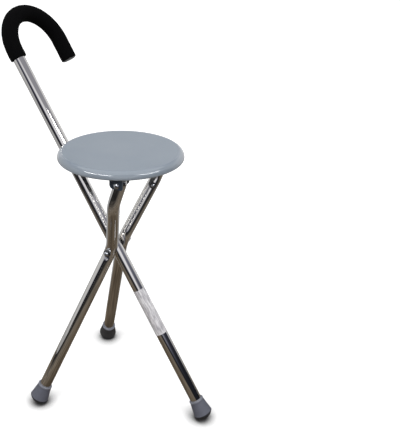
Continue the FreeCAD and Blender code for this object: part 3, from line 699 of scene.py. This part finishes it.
# %% Table top, and paler floor round it
table_height, room_floor_height, room_reach = 0.002, 0.001, 6
table_right = 2.3
table_left_edge = [(-0.9, -2.3), (-0.9, -0.5), (-0.45, 0.05), (0.1, 0.38), (0.75, 0.75)]
rows = [[(x, y, table_height), (table_right, y, table_height)] for x, y in table_left_edge]
tree, shader = bare_card("table_board", rows)[1:]
ramp = add(tree, "ValToRGB", links={"Fac": distance_out(tree)})
for position, hex_code in ((0.12, "#574D41"), (0.38, "#71685D"), (0.62, "#6A635B"), (0.95, "#33312F")):
    stop = ramp.color_ramp.elements.new(position)
    stop.color = linear(hex_code)
ramp.color_ramp.elements[0].color = linear("#574D41")
ramp.color_ramp.elements[-1].color = linear("#2A2928")
place = add(tree, "TexCoord").outputs["Object"]
streaks = add(tree, "TexNoise", values={"Scale": per_metre(70), "Detail": 5.0}, links={"Vector": place})
streak_light = add(tree, "MapRange", links={"Value": streaks.outputs["Fac"]},
                   values={"From Min": 0.3, "From Max": 0.7, "To Min": 0.45, "To Max": 1.6})
tree.links.new(ramp.outputs["Color"], shader.inputs["Emission Color"])
tree.links.new(streak_light.outputs["Result"], shader.inputs["Emission Strength"])
rows = [[(x, y, room_floor_height) for x in (-room_reach, room_reach)] for y in (-room_reach, room_reach)]
card("pale_floor", rows, ["#A6A6A7"] * 2)

# %% [markdown]
# ## Walls and windows in the chrome
# Round the object stand plain sheets, from a grey drape far out to two narrow bright windows near by.
# The dark wall has two humps, to the right and to the left of the camera. They are the dark lines along
# the tubes, and the windows are the white lines and the highlights on the seat's rim.

# %% Walls and windows
drape_shades = [(0, "#B8B8BA"), (0.58, "#B8B8BA"), (0.68, "#92929A"), (1, "#92929A")]
dark_shades = [(0, "#141519"), (0.28, "#202128"), (0.47, "#41434F"), (0.62, "#6D6F7C"), (1, "#B2B2B8")]
window_shades = [(0, "#FFFFFF"), (1, "#FFFFFF")]
window_strength = 22.0
dark_outline = [(45, 0, 0.02), (57, 0, 1.4), (78, 0, 2.1), (100, 0, 1.95), (119, 0, 0.9), (137, 0, 0.35),
                (150, 0, 0.4), (160, 0, 0.5), (166, 0, 0.6), (172, 0, 1.2), (180, 0, 1.9), (197, 0, 2.0),
                (207, 0, 0.5), (215, 0, 0.05)]
pale_outline = [(112, 1.2, 1.9), (119, 0.98, 1.9), (128, 0.72, 1.9), (138, 0.45, 1.9), (150, 0.5, 1.9),
                (157, 0.85, 1.9), (165, 1.0, 1.9), (169, 1.1, 1.9)]
standing_card("grey_drape", 3.2, [(-180, 0.0, 4.0), (0, 0.0, 4.0), (180, 0.0, 4.0)], drape_shades)
standing_card("dark_wall", 2.4, dark_outline, dark_shades)
standing_card("pale_wall", 2.3, pale_outline, [(0, "#E8E8EE"), (1, "#DADADE")])
standing_card("left_wall", 2.3, [(-140, 0, 1.35), (-70, 0, 1.35)], [(0, "#C6C6C6"), (1, "#C8C8C8")])
standing_card("back_wall", 2.3, [(-70, 0, 1.7), (35, 0, 1.7)], [(0, "#DEDEE0"), (1, "#DEDEE0")])
standing_card("right_window", 2.0, [(74, 1.48, 1.64), (100, 1.76, 1.94), (116, 1.84, 2.0)], window_shades,
              window_strength)
standing_card("left_window", 2.0, [(166, 1.78, 1.98), (220, 1.78, 1.98)], window_shades, window_strength)

# %% [markdown]
# ## Soft boxes
# Two weak square lamps, to the right and to the left of the camera, give the shadows their direction.
# Chrome doesn't mirror them, because it already has the windows.

# %% Soft boxes
lamp_aim = Vector((0, 0, 0.4))


def soft_box(name, azimuth, elevation, distance, size, watts):
    """A square lamp aimed at the object, placed by its compass angle and its height angle in degrees."""
    lamp = bpy.data.lights.new(name, "AREA")
    lamp.size = size
    lamp.energy = watts
    holder = bpy.data.objects.new(name, lamp)
    turn, rise = math.radians(azimuth), math.radians(elevation)
    away = Vector((math.sin(turn) * math.cos(rise), math.cos(turn) * math.cos(rise), math.sin(rise)))
    holder.location = lamp_aim + away * distance
    holder.rotation_mode = "QUATERNION"
    holder.rotation_quaternion = (-away).to_track_quat("-Z", "Y")
    holder.visible_glossy = False
    bpy.context.scene.collection.objects.link(holder)
    print("lamp", name, watts, "watts")


soft_box("right_soft_box", 100, 45, 2.4, 1.2, 16)
soft_box("left_soft_box", -165, 45, 2.4, 1.2, 16)

# %% [markdown]
# ## The camera
# The camera stands where the photographer's did, which was worked out from the edges of the tubes, the
# seat and the feet. The stick fills only the left of the picture, so the lens is shifted sideways and
# the camera still looks straight along its own axis. Its place is measured from the hub bolt in metres,
# and the lens and its axis in the photograph's pixels.

# %% Camera
frame_width, frame_height = 400, 430
camera_place = hub + Vector((0.55327, -0.86808, 0.56405))
yaw, pitch, roll = math.radians(-30.119), math.radians(25.90), math.radians(0.492)
ahead = Vector((math.sin(yaw) * math.cos(pitch), math.cos(yaw) * math.cos(pitch), -math.sin(pitch)))
level_right = Vector((math.cos(yaw), -math.sin(yaw), 0))
level_up = level_right.cross(ahead)
camera_right = level_right * math.cos(roll) + level_up * math.sin(roll)
camera_up = level_up * math.cos(roll) - level_right * math.sin(roll)
lens_pixels = 633.76
axis_column = 140
camera_data = bpy.data.cameras.new("camera")
camera_data.sensor_width = 36.0
camera_data.lens = lens_pixels / frame_height * camera_data.sensor_width
camera_data.shift_x = (frame_width / 2 - axis_column) / frame_height
camera_data.clip_end = 60.0
camera = bpy.data.objects.new("camera", camera_data)
turn = Matrix((camera_right, camera_up, -ahead)).transposed()
camera.matrix_world = Matrix.Translation(camera_place) @ turn.to_4x4()
bpy.context.scene.collection.objects.link(camera)
bpy.context.scene.camera = camera
bpy.context.scene.view_settings.view_transform = "Standard"
print("lens", round(camera_data.lens, 2), "mm, shift", round(camera_data.shift_x, 4))
